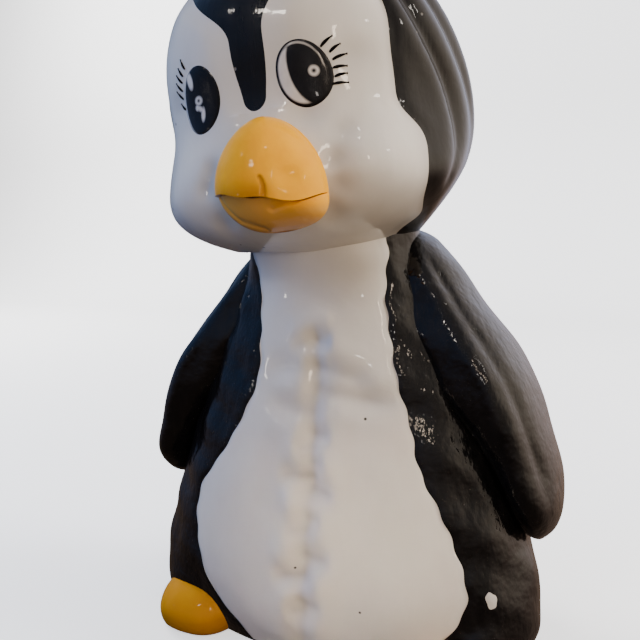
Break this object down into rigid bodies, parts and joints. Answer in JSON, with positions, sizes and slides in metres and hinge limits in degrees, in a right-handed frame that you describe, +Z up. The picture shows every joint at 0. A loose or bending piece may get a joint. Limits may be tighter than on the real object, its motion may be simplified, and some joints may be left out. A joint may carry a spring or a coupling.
{
  "type": "penguin figurine",
  "caption": "Standing penguin figurine in glazed earthenware, plump pear-shaped body, tilted round head, hanging flippers and a stubby beak, a shelf ornament.",
  "frame": {"origin": "on the base plane, on the axis of the body at the centre of the vent hole", "axes": "+Z up, the figure faces -Y, and +X is on the figure's own left"},
  "size_m": [0.142, 0.1046, 0.2167],
  "materials": {
    "black_glaze": "gloss",
    "white_glaze": "gloss",
    "yellow_glaze": "gloss",
    "amber_glaze": "gloss",
    "eye_glaze": "gloss"
  },
  "bodies": {
    "root": {"coat": "black_glaze", "belly": "white_glaze", "hood": "black_glaze", "face": "white_glaze", "left_flipper": "black_glaze", "right_flipper": "black_glaze", "left_foot": "yellow_glaze", "right_foot": "yellow_glaze", "upper_beak": "yellow_glaze", "lower_beak": "amber_glaze", "left_eye": "eye_glaze", "right_eye": "eye_glaze"}
  },
  "joints": []
}
